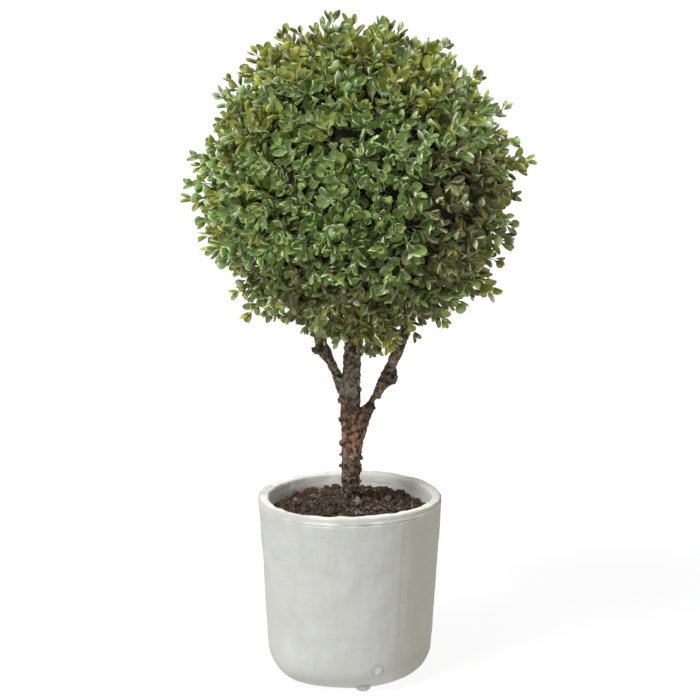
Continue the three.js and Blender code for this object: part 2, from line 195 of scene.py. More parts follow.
# Where the boughs come in, the sprigs leave room: bearing from +X, rise and width
BOUGH_GAPS = [(-12, -66, 0.11), (186, -73, 0.08), (-100, -84, 0.07)]
# Sprigs that stray past the clipped outline: bearing from +X, rise above the middle, and reach
STRAYS = [
    (-8, 9, 117), (184, -5, 114), (200, 81, 113), (-12, -37, 118),
    (190, -50, 116), (75, 24, 116), (120, -20, 116), (-72, -72, 113),
    (18, -79, 113), (-50, -80, 114), (-10, -83, 112), (-40, -75, 114),
    (170, -77, 113),
]
LIMB_CLEARANCE = 1.5
BARE_TWIGS = 30
TWIG_LENGTH = 34
# Radius of the sprigs' stems, of the bare twigs and of the twigs that leave the limbs
STEM_THICK = 0.6
TWIG_THICK = 0.5
LIMB_TWIG_THICK = 0.9
LIMB_TWIGS = 7
STEM_SIDES = 5
STEM_STEPS = 5

GOLDEN_ANGLE = math.pi * (3 - math.sqrt(5))

# Camera, lights and floor: place in metres, lens in millimetres, angles in degrees
CAMERA_PLACE = (0, -1.5, 0.5665)
LOOK_DOWN = 12.885
SENSOR_WIDTH = 36
LENS = 119.03
# Which way the key light shines: from the upper left, in front
KEY_AIM = (0.47, 0.44, -0.77)
KEY_STRENGTH = 3.05
KEY_WIDTH = 22
SKY_STRENGTH = 0.45
FLOOR_GREY = 0.1
FLOOR_GLOW = 0.9

seed = 20508


def random():
    global seed
    seed = (seed * 1664525 + 1013904223) % 4294967296
    return seed / 4294967296


# How the pieces are modelled


def choose(*pieces):
    """Selects these pieces alone, the first one active."""
    bpy.ops.object.select_all(action="DESELECT")
    for piece in pieces:
        piece.select_set(True)
    bpy.context.view_layer.objects.active = pieces[0]


def add(primitive, **settings):
    """Adds a primitive with nothing else selected, and gives its object."""
    bpy.ops.object.select_all(action="DESELECT")
    getattr(bpy.ops.mesh, f"primitive_{primitive}_add")(**settings)
    return bpy.context.object


def hang(name, data):
    """A new object in the scene, with a mesh, a camera or a lamp as its data."""
    piece = bpy.data.objects.new(name, data)
    bpy.context.scene.collection.objects.link(piece)
    return piece


def settle():
    """Puts the place, turn and scale of what is selected into its mesh."""
    bpy.ops.object.transform_apply()


def editing(piece):
    bpy.context.view_layer.objects.active = piece
    bpy.ops.object.mode_set(mode="EDIT")


def done():
    bpy.ops.object.mode_set(mode="OBJECT")


def pick_all():
    bpy.ops.mesh.select_all(action="SELECT")


def pick(kind, test):
    """Selects only the faces, edges or verts that test accepts, in edit mode."""
    mesh = bmesh.from_edit_mesh(bpy.context.object.data)
    bpy.ops.mesh.select_mode(type=kind[:-1].upper())
    bpy.ops.mesh.select_all(action="DESELECT")
    for part in getattr(mesh, kind):
        if test(part):
            part.select_set(True)
    mesh.select_flush_mode()
    bmesh.update_edit_mesh(bpy.context.object.data)


def resize(*value):
    """Scales what is picked about the origin."""
    bpy.ops.transform.resize(value=value, center_override=(0, 0, 0))


def draw_out(way):
    """Extrudes what is picked."""
    bpy.ops.mesh.extrude_region_move(TRANSFORM_OT_translate={"value": way})


def finish_piece(piece, name, finish, smooth=None):
    """Names a piece, puts its place into its mesh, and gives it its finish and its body."""
    choose(piece)
    settle()
    if smooth:
        bpy.ops.object.shade_smooth_by_angle(angle=math.radians(smooth))
    piece.name = piece.data.name = name
    piece.data.materials.append(finish)
    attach(piece, "root")


def modify(piece, kind, **settings):
    """Adds a modifier to piece and applies it."""
    choose(piece)
    modifier = piece.modifiers.new(kind.title(), kind)
    for key, value in settings.items():
        setattr(modifier, key, value)
    bpy.ops.object.modifier_apply(modifier=modifier.name)


def roughen(piece, size, depth, group="", noise_type="SOFT_NOISE"):
    """Raises and sinks a piece's surface by lumps of some size, up to depth."""
    texture = bpy.data.textures.new(f"lumps of {size}", "CLOUDS")
    texture.noise_scale = size
    texture.noise_type = noise_type
    modify(piece, "DISPLACE", texture=texture, strength=depth, vertex_group=group)


def group_where(piece, name, weight):
    """A vertex group whose weights follow from each vertex's place."""
    group = piece.vertex_groups.new(name=name)
    for vertex in piece.data.vertices:
        group.add([vertex.index], min(max(weight(vertex.co), 0), 1), "REPLACE")
    return name


def mesh_from(points, faces):
    """A joined mesh from arrays: points, and faces that all have the same number of corners."""
    mesh = bpy.data.meshes.new("joined")
    mesh.vertices.add(len(points))
    mesh.vertices.foreach_set("co", np.asarray(points, np.float32).ravel())
    mesh.loops.add(faces.size)
    mesh.loops.foreach_set("vertex_index", faces.astype(np.int32).ravel())
    mesh.polygons.add(len(faces))
    starts = np.arange(0, faces.size, faces.shape[1], dtype=np.int32)
    mesh.polygons.foreach_set("loop_start", starts)
    mesh.update(calc_edges=True)
    return hang("joined", mesh)


def arrays_of(piece):
    """A modelled piece's points and triangles as arrays. The piece itself is then removed."""
    modify(piece, "TRIANGULATE")
    points = np.array([v.co for v in piece.data.vertices])
    faces = np.array([f.vertices[:] for f in piece.data.polygons])
    bpy.data.objects.remove(piece)
    return points, faces


def copies(shape, places):
    """Points and faces of a shape copied to each place, a 4 by 4 matrix."""
    points, faces = shape
    places = np.asarray(places)
    turned = np.einsum("nij,pj->npi", places[:, :3, :3], points) + places[:, None, :3, 3]
    shifted = faces[None] + (np.arange(len(places)) * len(points))[:, None, None]
    return turned.reshape(-1, 3), shifted.reshape(-1, faces.shape[1])


def joined(parts):
    """One mesh from several pairs of points and triangles."""
    starts = np.cumsum([0] + [len(points) for points, _ in parts])
    points = np.concatenate([points for points, _ in parts])
    faces = np.concatenate([faces + start for (_, faces), start in zip(parts, starts)])
    return mesh_from(points, faces)


# The finishes


def sums(operation, turned=False):
    """Writes a sum of two values as a Math node, with the second value first if turned."""

    def write(self, other):
        pair = (other, self) if turned else (self, other)
        return self.node("Math", dict(enumerate(pair)), operation=operation)

    return write


class Shade:
    """A node tree's output that sums can be written on: each sum adds its Math node."""

    __add__ = __radd__ = sums("ADD")
    __mul__ = __rmul__ = sums("MULTIPLY")
    __sub__ = sums("SUBTRACT")
    __rsub__ = sums("SUBTRACT", turned=True)
    __gt__ = sums("GREATER_THAN")

    def __init__(self, tree, socket=None):
        self.tree = tree
        self.socket = socket

    def node(self, kind, inputs=None, out=0, **settings):
        """Adds a node with its settings, such as an operation or a ramp's stops, and its sockets."""
        made = self.tree.nodes.new(f"ShaderNode{kind}")
        for key, value in settings.items():
            if key == "stops":
                ramp = made.color_ramp.elements
                while len(ramp) < len(value):
                    ramp.new(1)
                for element, (place, colour) in zip(ramp, value):
                    element.position = place
                    element.color = colour
            else:
                setattr(made, key, value)
        for key, value in (inputs or {}).items():
            if isinstance(value, Shade):
                self.tree.links.new(value.socket, made.inputs[key])
            else:
                made.inputs[key].default_value = value
        return Shade(self.tree, made.outputs[out]) if made.outputs else None

    def kept(self):
        """The value kept between 0 and 1."""
        return self.node("Clamp", {"Value": self})

    def mix(self, low, high):
        """A colour between low and high, with this value as the share of high."""
        return self.node("Mix", {0: self, 6: low, 7: high}, 2, data_type="RGBA")

    def part(self, low, high):
        """This value spread so that low becomes 0 and high becomes 1."""
        return self.node("MapRange", {"Value": self, "From Min": low, "From Max": high})


def tone(r, g, b):
    """A colour from screen values of 0 to 255."""
    return (*(((v / 255 + 0.055) / 1.055) ** 2.4 if v > 10 else v / 3295 for v in (r, g, b)), 1)


def layered(colour, layers):
    """The colour with layers laid over it, each a share and a colour in screen values."""
    for share, over in layers:
        colour = share.mix(colour, tone(*over))
    return colour


def new_finish(name):
    """An empty material, as the start of its nodes."""
    material = bpy.data.materials.new(name)
    material.use_nodes = True
    material.node_tree.nodes.clear()
    return material, Shade(material.node_tree)


def close_finish(start, colour, roughness, specular=0.5, bump=None, others=None):
    """Ends a finish with its colour and gloss, and a bump given as height, strength and depth."""
    inputs = {"Base Color": colour, "Roughness": roughness, "Specular IOR Level": specular}
    if bump:
        relief = dict(zip(("Height", "Strength", "Distance"), bump))
        inputs["Normal"] = start.node("Bump", relief)
    surface = start.node("BsdfPrincipled", inputs | (others or {}))
    start.node("OutputMaterial", {"Surface": surface})


def place_on(start, scale=(1, 1, 1)):
    """Object coordinates, stretched by scale."""
    place = start.node("TexCoord", out=3)
    return start.node("Mapping", {"Vector": place, "Scale": scale})


def axis_of(start, place, axis):
    return start.node("SeparateXYZ", {0: place}, axis)


def mark_of(start, name):
    """The value that the mesh carries under name."""
    return start.node("Attribute", out=2, attribute_name=name)


def far_from(start, place, spot):
    """How far place is from a spot in millimetres, in metres."""
    return start.node("VectorMath", {0: place, 1: Vector(spot) * MM}, 1, operation="DISTANCE")


def noise(start, place, size, detail=3, roughness=0.5):
    """Cloudy noise, with size as the number of lumps per metre."""
    inputs = {"Vector": place, "Scale": size, "Detail": detail, "Roughness": roughness}
    return start.node("TexNoise", inputs)


def cement_finish():
    """Limewashed cement: pale grey, with faint clouds, trowel streaks up the side and small pits."""
    material, start = new_finish("limewashed cement")
    place = place_on(start)
    height = axis_of(start, place, 2)
    clouds = noise(start, place, 52, 6, 0.66)
    streaks = noise(start, place_on(start, (150, 150, 12)), 1, 3, 0.55)
    brushed = noise(start, place_on(start, (60, 60, 420)), 1, 3, 0.6)
    grains = noise(start, place, 900, 2, 0.6)
    cells = start.node("TexVoronoi", {"Vector": place, "Scale": 300})
    pits = (1 - cells.part(0.05, 0.18)) * (noise(start, place, 60, 1) > 0.63)
    washed = clouds.part(0.3, 0.72).mix(tone(179, 180, 174), tone(190, 191, 187))
    # The foot is dirtier, the right side darker as painted shade, and the foot on the right darkest,
    # dirt and painted shade together
    foot = 1 - height.part(0.0, 0.026)
    side = axis_of(start, place, 0).part(0.024, 0.044)
    lime = mark_of(start, "lime")
    # The inner wall, drawn in a pale lime colour as painted light, with faint level stains low down
    flat = start.node("VectorMath", {0: place, 1: (1, 1, 0)}, operation="MULTIPLY")
    out = start.node("VectorMath", {0: flat}, 1, operation="LENGTH")
    painted_light_inside = (1 - out.part(0.0555, 0.0575)) * height.part(0.1, 0.106)
    marks = noise(start, place_on(start, (34, 34, 520)), 1, 4, 0.65)
    low_inside = 1 - height.part(0.113, 0.1225)
    marked = low_inside * (marks.part(0.46, 0.6) * 0.42 + 0.04)
    # A faint dark ring round the drop on the foot: painted shade at its edge
    drip = far_from(start, place, DRIPS["drip_on_foot"][0])
    ring = drip.part(0.0028, 0.0036) * (1 - drip.part(0.0038, 0.0052))
    layers = [
        (brushed.part(0.52, 0.72) * 0.12, (166, 166, 158)),
        (streaks.part(0.54, 0.78) * 0.25, (164, 164, 152)),
        (foot * clouds.part(0.35, 0.7) * 0.4, (154, 154, 138)),
        # Painted shade on the right side
        (side * 0.85, (175, 173, 158)),
        # Dirt and painted shade at the foot on the right
        (foot * side * 0.8, (142, 141, 127)),
        # Painted shade: darker bands down the lip's outer face
        ((lime * -0.6).kept(), (120, 120, 110)),
        # Limewash with painted highlights on the lip
        ((lime * clouds.part(0.3, 0.5)).kept(), (245, 244, 237)),
        # Painted light on the inner wall
        (painted_light_inside, (238, 238, 232)),
        (painted_light_inside * marked, (118, 124, 104)),
        # Painted shade round the drop
        (ring * 0.35, (130, 130, 118)),
        # Painted shade in the pits
        (pits * 0.15, (134, 132, 120)),
    ]
    relief = streaks * 0.55 + brushed * 0.18 + grains * 0.14 + clouds * 0.4 - pits * 0.7
    close_finish(start, layered(washed, layers), 0.8, 0.3, (relief, 0.6, 1 * MM))
    return material


def soil_finish(name, dark, light):
    """Damp dark soil with lighter and darker crumbs."""
    material, start = new_finish(name)
    place = place_on(start)
    clods = noise(start, place, 380, 3, 0.6)
    grains = noise(start, place, 1600, 2, 0.6)
    colour = (clods * 0.6 + grains * 0.4).part(0.36, 0.64).kept().mix(tone(*dark), tone(*light))
    close_finish(start, colour, 0.9, 0.25, (grains, 0.6, 0.6 * MM))
    return material


def patches(start, place, spots):
    """A mask that is 1 inside round spots, each a place and a reach in millimetres."""
    mask = 0
    for spot, reach in spots:
        mask = (1 - far_from(start, place, spot).part(0.4 * reach * MM, reach * MM)) + mask
    return mask


def bark_finish():
    """Rough bark: reddish brown and flaky low down, grey brown above, with grey-green patches."""
    material, start = new_finish("bark")
    place = place_on(start)
    height = axis_of(start, place, 2)
    relief = mark_of(start, "relief")
    flakes = noise(start, place_on(start, (1, 1, 0.6)), 520, 4, 0.65)
    clouds = noise(start, place, 90, 3, 0.6)
    lichen = noise(start, place, 330, 4, 0.7)
    fine = noise(start, place_on(start, (1, 1, 0.35)), 1700, 3, 0.6)
    # Lighter on flakes and on raised bark, darker in its hollows: the flakes' own colour, with a
    # painted highlight on the raised bark and painted shade in the hollows
    flakes_and_painted_relief = (relief * 0.6 + flakes * 0.7).part(0.42, 0.86)
    above = (height + (clouds - 0.5) * 0.06).part(0.184, 0.2)
    foot = 1 - (height + (clouds - 0.5) * 0.02).part(0.128, 0.146)
    red_part = clouds.part(0.36, 0.52) * (1 - above) * (1 - foot)
    grey_brown = flakes_and_painted_relief.mix(tone(58, 50, 41), tone(148, 132, 110))
    red_brown = flakes_and_painted_relief.mix(tone(70, 41, 29), tone(156, 102, 74))
    bark = (red_part * 0.7).mix(grey_brown, red_brown)
    green = (patches(start, place, LICHEN) * lichen.part(0.38, 0.56)).kept()
    yellow = (patches(start, place, YELLOW_PATCHES) * lichen.part(0.4, 0.55)).kept()
    dark = patches(start, place, DARK_PATCHES).kept()
    blots = noise(start, place_on(start, (1, 1, 0.7)), 210, 2, 0.6)
    stops = [(share, (grey, grey, grey, 1)) for share, grey in BARK_SHADES]
    bands = start.node("ValToRGB", {"Fac": height.part(0.11, 0.27)}, stops=stops)
    layers = [
        (flakes.part(0.52, 0.62) * relief.part(0.45, 0.7) * 0.7, (200, 176, 146)),
        (green * 0.7, (128, 138, 118)),
        (yellow * 0.75, (150, 124, 62)),
        ((bands + dark * 0.45 + blots.part(0.56, 0.64) * 0.35).kept(), (50, 45, 37)),
        # Painted shade in the bark's crevices
        ((1 - relief.part(0.04, 0.3)) * 0.8, (30, 23, 19)),
    ]
    rough = flakes * 0.6 + fine * 0.4
    close_finish(start, layered(bark, layers), 0.85, 0.3, (rough, 0.8, 0.8 * MM))
    return material


def core_finish():
    """The dark ball inside, that only shows in the gaps: its dark colour is painted shade of the
    foliage's depths.
    """
    material, start = new_finish("dark core")
    place = place_on(start)
    mottle = noise(start, place, 300, 3, 0.6)
    colour = mottle.part(0.35, 0.65).mix(tone(40, 31, 33), tone(72, 58, 56))
    close_finish(start, colour, 0.95, 0.5, (mottle, 0.8, 2 * MM))
    return material


def plain_finish(name, colour, roughness, coat=0.0):
    """Moulded plastic of one colour, for leaves and their stems."""
    material, start = new_finish(name)
    gloss = {"Coat Weight": coat, "Coat Roughness": 0.22}
    close_finish(start, tone(*colour), roughness, others=gloss)
    return material


# The pot


def lime_and_painted_light_at(out, bearing, height):
    """How limed the pot is at a place, with its painted highlights and painted shade: limewash with a
    painted highlight all over on the lip's top, and bands of painted highlight and painted shade down
    its outer face.
    """
    depth = (POT_HEIGHT - height) / MM
    if out < LIP_TOP_RADIUS:
        return max(1 - depth / 3, 0)
    patchy = 0.75 + 0.25 * math.sin(0.17 * bearing + 1) + 0.2 * math.sin(0.41 * bearing)
    patchy *= np.interp(bearing, [-150, -112, -52, -30], [0.25, 1, 1, 0.25])
    return patchy * np.interp(depth, LIP_DEPTHS, LIP_PAINTED_LIGHT)


def press_at(bearing, height):
    """How far the side stands out at a place, in millimetres: the groove and the trowel's ridges."""
    push = 0
    first, last = GROOVE_ENDS
    groove = GROOVE_Z + 0.5 * MM * math.sin(0.12 * bearing)
    if abs(height - groove) < 0.5 * MM and first < bearing < last:
        faint = 0.75 + 0.4 * math.sin(0.21 * bearing) + 0.4 * math.sin(0.53 * bearing)
        push -= GROOVE_DEPTH * faint * min((bearing - first) / 30, 1) * min((last - bearing) / 8, 1)
    for ridge, width, high in RIDGES:
        near = max(1 - abs(bearing - ridge - 0.02 * (height / MM - 70)) / width, 0)
        push += high * near * min((height - POT_CORNER) / (20 * MM), 1)
    return push


def press_side(mesh):
    """Presses the groove under the lip and the trowel's ridges up the side, and marks the lip's
    limewash with its painted highlights and painted shade.
    """
    lime = mesh.verts.layers.float.new("lime")
    for vertex in mesh.verts:
        out = vertex.co.xy.length
        height = vertex.co.z
        bearing = math.degrees(math.atan2(vertex.co.y, vertex.co.x))
        vertex[lime] = lime_and_painted_light_at(out, bearing, height)
        if out >= POT_SIDE_RADIUS - 1.5 * MM and height >= POT_CORNER:
            vertex.co.xy *= 1 + press_at(bearing, height) * MM / out


def push_place(pot, place, push, reach):
    """Pushes the point nearest to place, and the pot round it less and less out to reach."""
    mesh = bmesh.from_edit_mesh(pot.data)
    nearest = Vector(place) * MM
    found = min((v.co - nearest).length for v in mesh.verts)
    pick("verts", lambda v: (v.co - nearest).length < found + 0.4 * MM)
    bpy.ops.transform.translate(
        value=Vector(push) * MM,
        use_proportional_edit=True,
        proportional_size=reach * MM,
    )


def make_drip(name, place, size):
    """A drop of limewash that ran down the pot and dried."""
    drip = add("ico_sphere", subdivisions=4, radius=0.5, location=Vector(place) * MM)
    editing(drip)
    pick_all()
    bpy.ops.transform.resize(value=Vector(size) * MM)
    done()
    settle()
    roughen(drip, 0.003, 0.5 * MM)
    finish_piece(drip, name, bpy.data.materials["limewashed cement"], smooth=60)


def make_pot():
    halfway = (0, 0, POT_HEIGHT / 2)
    pot = add("cylinder", vertices=240, radius=POT_SIDE_RADIUS, depth=POT_HEIGHT, location=halfway)
    settle()
    editing(pot)
    pick("edges", lambda e: all(v.co.z < MM for v in e.verts))
    bpy.ops.mesh.bevel(offset=POT_CORNER, segments=14)
    pick("verts", lambda v: v.co.z > POT_CORNER + MM)
    flare = POT_RIM_RADIUS / POT_SIDE_RADIUS
    resize(flare, flare, 1)
    pick("faces", lambda f: f.calc_center_median().z > POT_HEIGHT - MM)
    bpy.ops.mesh.inset(thickness=POT_WALL)
    narrow = (POT_SIDE_RADIUS - POT_WALL - 4 * MM) / POT_INNER_RADIUS
    draw_out((0, 0, POT_FLOOR - POT_HEIGHT))
    resize(narrow, narrow, 1)
    lip_top = POT_HEIGHT - 0.1 * MM
    pick("edges", lambda e: min(v.co.z for v in e.verts) > lip_top and e.calc_face_angle(0) > 0.8)
    bpy.ops.mesh.bevel(offset=LIP_ROUNDING, segments=5)
    levels = [POT_CORNER + i * RING_STEP for i in range(1, RINGS + 1)]
    levels += [GROOVE_Z + i * 0.7 * MM for i in range(-3, 3)]
    for z in levels:
        pick_all()
        bpy.ops.mesh.bisect(plane_co=(0, 0, z), plane_no=(0, 0, 1))
    pick_all()
    bpy.ops.mesh.remove_doubles(threshold=0.02 * MM)
    press_side(bmesh.from_edit_mesh(pot.data))
    bmesh.update_edit_mesh(pot.data)
    for place, push, reach in PUSHES:
        push_place(pot, place, push, reach)
    done()
    above = group_where(pot, "off the table", lambda co: (co.z - 0.5 * MM) / (6 * MM))
    lip = group_where(pot, "lip", lambda co: (co.z - 112 * MM) / (8 * MM))
    roughen(pot, 0.009, 1.3 * MM, lip)
    roughen(pot, 0.05, 1.5 * MM, above)
    roughen(pot, 0.014, 0.75 * MM, above)
    roughen(pot, 0.005, 0.32 * MM, above)
    finish_piece(pot, "pot_body", cement_finish(), smooth=50)
    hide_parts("pot")
    for name, (place, size) in DRIPS.items():
        make_drip(name, place, size)


# The soil


def soil_top(x, y):
    """Height of the soil's surface at a place, in millimetres."""
    inward = 1 - min(math.hypot(x, y) / (POT_INNER_RADIUS / MM), 1)
    mounds = math.sin(0.15 * x + 1.1) * math.sin(0.17 * y + 0.4)
    lumps = math.sin(0.42 * x - 0.34 * y) * math.cos(0.33 * x + 0.41 * y)
    uneven = (mounds + 0.7 * lumps) * min(3 * inward, 1)
    behind = 3.0 * math.exp(-((x - 19) ** 2 + (y - 17) ** 2) / 130)
    at_stem = 4.2 * math.exp(-(x**2 + (y + 5) ** 2) / 260)
    return SOIL_EDGE_Z / MM + SOIL_HEAP / MM * inward**0.6 + 0.9 * uneven + behind + at_stem


def make_soil_bed():
    top = SOIL_EDGE_Z
    radius = POT_INNER_RADIUS - 0.5 * MM
    halfway = (0, 0, top - SOIL_DEPTH / 2)
    soil = add("cylinder", vertices=96, radius=radius, depth=SOIL_DEPTH, location=halfway)
    settle()
    editing(soil)
    pick("verts", lambda v: v.co.z < top - MM)
    resize(0.97, 0.97, 1)
    pick("faces", lambda f: f.calc_center_median().z > top - 0.1 * MM)
    for _ in range(SOIL_RINGS):
        bpy.ops.mesh.inset(thickness=radius / (SOIL_RINGS + 1.2))
    bpy.ops.mesh.poke()
    mesh = bmesh.from_edit_mesh(soil.data)
    for vertex in mesh.verts:
        if vertex.co.z > top - 0.1 * MM:
            vertex.co.z = soil_top(vertex.co.x / MM, vertex.co.y / MM) * MM
    bmesh.update_edit_mesh(soil.data)
    done()
    upper = group_where(soil, "surface", lambda co: (co.z - top + 2 * MM) / (2 * MM))
    modify(soil, "SUBSURF", subdivision_type="SIMPLE", levels=1, render_levels=1)
    roughen(soil, 0.006, 2.4 * MM, upper)
    roughen(soil, 0.002, 0.9 * MM, upper)
    finish = soil_finish("soil", (36, 29, 24), (96, 79, 66))
    finish_piece(soil, "soil_bed", finish, smooth=70)
    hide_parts("soil")


def model_crumb(stretch, rough, number, detail):
    """One angular crumb, about 1 across."""
    crumb = add("ico_sphere", subdivisions=detail, radius=0.5)
    editing(crumb)
    pick_all()
    bpy.ops.transform.resize(value=stretch)
    bpy.ops.transform.vertex_random(offset=rough, uniform=0.7, normal=0.3, seed=number)
    done()
    return arrays_of(crumb)


def crumb_place(out, bearing, size, sink):
    """Where one crumb lies on the soil, turned at random; None where the stem or the wall is."""
    x, y = out * math.cos(bearing) + random() - 0.5, out * math.sin(bearing) + random() - 0.5
    turn = Quaternion((random() - 0.5, random() - 0.5, random() - 0.5), 2 * math.pi * random())
    edge = POT_INNER_RADIUS / MM - 0.8
    if math.hypot(x - 0.6, y) < 5.2 + size / 2 or math.hypot(x, y) + size / 2 > edge:
        return None
    at = Vector((x, y, soil_top(x, y) + 0.6 - sink * size)) * MM
    return np.array(Matrix.LocRotScale(at, turn, Vector([size] * 3) * MM))


def make_crumbs():
    shapes = [model_crumb(*sizes) for sizes in CRUMB_SHAPES]
    reach = POT_INNER_RADIUS / MM - 1.5
    dealt = {shade: [[] for _ in shapes] for shade in CRUMB_TONES}
    for count, smallest, spread, sink in SCATTERED:
        for i in range(count):
            out = reach * math.sqrt((i + 0.5) / count)
            size = smallest + spread * random() ** 3
            place = crumb_place(out, i * GOLDEN_ANGLE, size, sink)
            small = size < CLOD_SIZE
            shade = "dark" if random() < (0.6 if small else 0.85) else "light"
            kind = int(random() * 4) if small else 4 + int(random() * 2)
            if place is not None:
                dealt[shade][kind].append(place)
    for count, first, span, nearest, spread, growth in HEAPED:
        for i in range(count):
            bearing = math.radians(first + span * (i + random()) / count)
            place = crumb_place(nearest + spread * random(), bearing, 4 + growth * random(), -0.1)
            if place is not None:
                dealt["dark"][4 + i % 2].append(place)
    for shade, lists in dealt.items():
        parts = [copies(shape, found) for shape, found in zip(shapes, lists) if found]
        piece = joined(parts)
        piece.data.shade_flat()
        finish = soil_finish(f"{shade} crumbs", *CRUMB_TONES[shade])
        finish_piece(piece, f"soil_crumbs_{shade}", finish)


# The stem and its boughs


def smooth_line(stations, steps):
    """Points and radii on a smooth line through the stations, in millimetres."""
    knots = [np.array(s, float) for s in stations]
    knots = [2 * knots[0] - knots[1], *knots, 2 * knots[-1] - knots[-2]]
    line = []
    for a, b, c, d in zip(knots, knots[1:], knots[2:], knots[3:]):
        for i in range(steps):
            t = i / steps
            square = (2 * a - 5 * b + 4 * c - d) * t**2
            cube = (3 * b - a - 3 * c + d) * t**3
            line.append(0.5 * (2 * b + (c - a) * t + square + cube))
    return [*line, knots[-2]]


def model_limb(stations):
    """One limb: a ring drawn out along its line, ring by ring."""
    line = smooth_line(stations, 5)
    *foot, radius = line[0]
    first = Vector((line[1] - line[0])[:3])
    turn = Vector((0, 0, 1)).rotation_difference(first).to_euler()
    place = {"location": Vector(foot) * MM, "rotation": turn}
    limb = add("circle", vertices=20, radius=radius * MM, fill_type="NGON", **place)
    settle()
    editing(limb)
    for before, after in zip(line, line[1:]):
        draw_out(Vector((after - before)[:3]) * MM)
        size = [after[3] / before[3]] * 3
        bpy.ops.transform.resize(value=size, center_override=Vector(after[:3]) * MM)
    pick_all()
    bpy.ops.mesh.normals_make_consistent()
    done()
    return limb


def model_burr(foot, tip, radius):
    """A blunt burr or stub that stands out of the bark from foot to tip."""
    foot, tip = Vector(foot) * MM, Vector(tip) * MM
    turn = Vector((0, 0, 1)).rotation_difference(tip - foot).to_euler()
    place = {"location": (foot + tip) / 2, "rotation": turn, "depth": (tip - foot).length}
    burr = add("cone", vertices=9, radius1=radius * MM, radius2=0.6 * radius * MM, **place)
    editing(burr)
    pick_all()
    bpy.ops.mesh.subdivide()
    bpy.ops.transform.vertex_random(offset=0.25 * radius * MM, seed=int(foot.z / MM))
    done()
    return burr


def make_bark():
    limbs = [model_limb(stations) for stations in LIMBS]
    limbs += [model_burr(*burr) for burr in BURRS]
    choose(*limbs)
    bark = limbs[0]
    bpy.ops.object.join()
    settle()
    modify(bark, "REMESH", mode="VOXEL", voxel_size=0.42 * MM)
    modify(bark, "SMOOTH", factor=0.5, iterations=2)
    roughen(bark, 0.006, 1.5 * MM)
    before = np.array([v.co for v in bark.data.vertices])
    normals = np.array([v.normal for v in bark.data.vertices])
    roughen(bark, 0.0032, 2.0 * MM)
    roughen(bark, 0.0017, 1.1 * MM, noise_type="HARD_NOISE")
    roughen(bark, 0.0009, 0.3 * MM)
    after = np.array([v.co for v in bark.data.vertices])
    out = ((after - before) * normals).sum(axis=1)
    low_end, high_end = np.percentile(out, [2, 98])
    relief = bark.data.attributes.new("relief", "FLOAT", "POINT")
    relief.data.foreach_set("value", np.clip((out - low_end) / (high_end - low_end), 0, 1))
    finish_piece(bark, "bark_limbs", bark_finish(), smooth=80)
    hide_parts("trunk", "left_bough", "right_bough")


# The ball of foliage


def make_core():
    centre = Vector(BALL_CENTRE) * MM
    core = add("ico_sphere", subdivisions=5, radius=CORE_RADIUS * MM, location=centre)
    settle()
    roughen(core, 0.012, 6 * MM)
    finish_piece(core, "inner_ball", core_finish(), smooth=80)
    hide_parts("foliage_ball")


def leaf_outline(length, width):
    """A flat leaf of ten corners along +Y from its root: a wedge that widens to a round end."""
    leaf = add("circle", vertices=10, radius=0.5 * MM, fill_type="NGON")
    editing(leaf)
    pick_all()
    resize(width, 0.8 * length, 1)
    bpy.ops.transform.translate(value=(0, 0.6 * length * MM, 0))
    pick("verts", lambda v: v.co.y < 0.4 * length * MM)
    resize(0.44, 1, 1)
    pick("verts", lambda v: v.co.y < 0.22 * length * MM)
    bpy.ops.transform.translate(value=(0, -0.2 * length * MM, 0))
    return leaf


def fold(leaf, length, curl):
    """Folds the leaf up along its midrib, and raises its outline, more towards its end."""
    mesh = bmesh.from_edit_mesh(leaf.data)
    for vertex in mesh.verts:
        vertex.co.z += LEAF_FOLD * abs(vertex.co.x)
    rim = {v for e in mesh.edges if len(e.link_faces) == 1 for v in e.verts}
    for vertex in rim:
        vertex.co.z += curl * MM * min(max(vertex.co.y / (length * MM), 0), 1)
    bmesh.update_edit_mesh(leaf.data)


def sink_middle(depth):
    """Puts a point in the middle of the picked face of ten corners, and sinks it."""
    bpy.ops.mesh.poke()
    pick("verts", lambda v: len(v.link_edges) == 10)
    bpy.ops.transform.translate(value=(0, 0, -depth * MM))


def model_leaf(length, width, cup, curl):
    """One cupped leaf, as three shapes: its upper face, the pale edge round it that carries a painted
    highlight, and its underside.
    """
    leaf = leaf_outline(length, width)
    pick_all()
    bpy.ops.mesh.inset(thickness=0.45 * MM)
    bpy.ops.mesh.inset(thickness=0.18 * width * MM, depth=-0.5 * cup * MM)
    sink_middle(0.5 * cup)
    fold(leaf, length, curl)
    pick("faces", lambda f: any(len(e.link_faces) == 1 for e in f.edges))
    bpy.ops.mesh.separate(type="SELECTED")
    done()
    edge = next(o for o in bpy.context.selected_objects if o is not leaf)
    under = leaf_outline(length, width)
    pick_all()
    sink_middle(cup + 0.2)
    fold(under, length, curl)
    pick_all()
    bpy.ops.mesh.flip_normals()
    done()
    return {"face": arrays_of(leaf), "edge": arrays_of(edge), "under": arrays_of(under)}


def unit(vector):
    return vector / np.linalg.norm(vector)


def spin_round(vector, axis, angle):
    """vector turned round a unit axis by angle."""
    swung = vector * math.cos(angle) + np.cross(axis, vector) * math.sin(angle)
    return swung + axis * np.dot(axis, vector) * (1 - math.cos(angle))


def sideways(axis, angle):
    """A unit vector square to axis, turned round it by angle."""
    start = np.array([0, 0, 1.0]) if abs(axis[2]) < 0.8 else np.array([1.0, 0, 0])
    return spin_round(unit(np.cross(start, axis)), axis, angle)


def even_direction(i, count):
    z = 1 - (2 * i + 1) / count
    bearing = i * GOLDEN_ANGLE
    flat = math.sqrt(1 - z * z)
    return np.array([flat * math.cos(bearing), flat * math.sin(bearing), z])


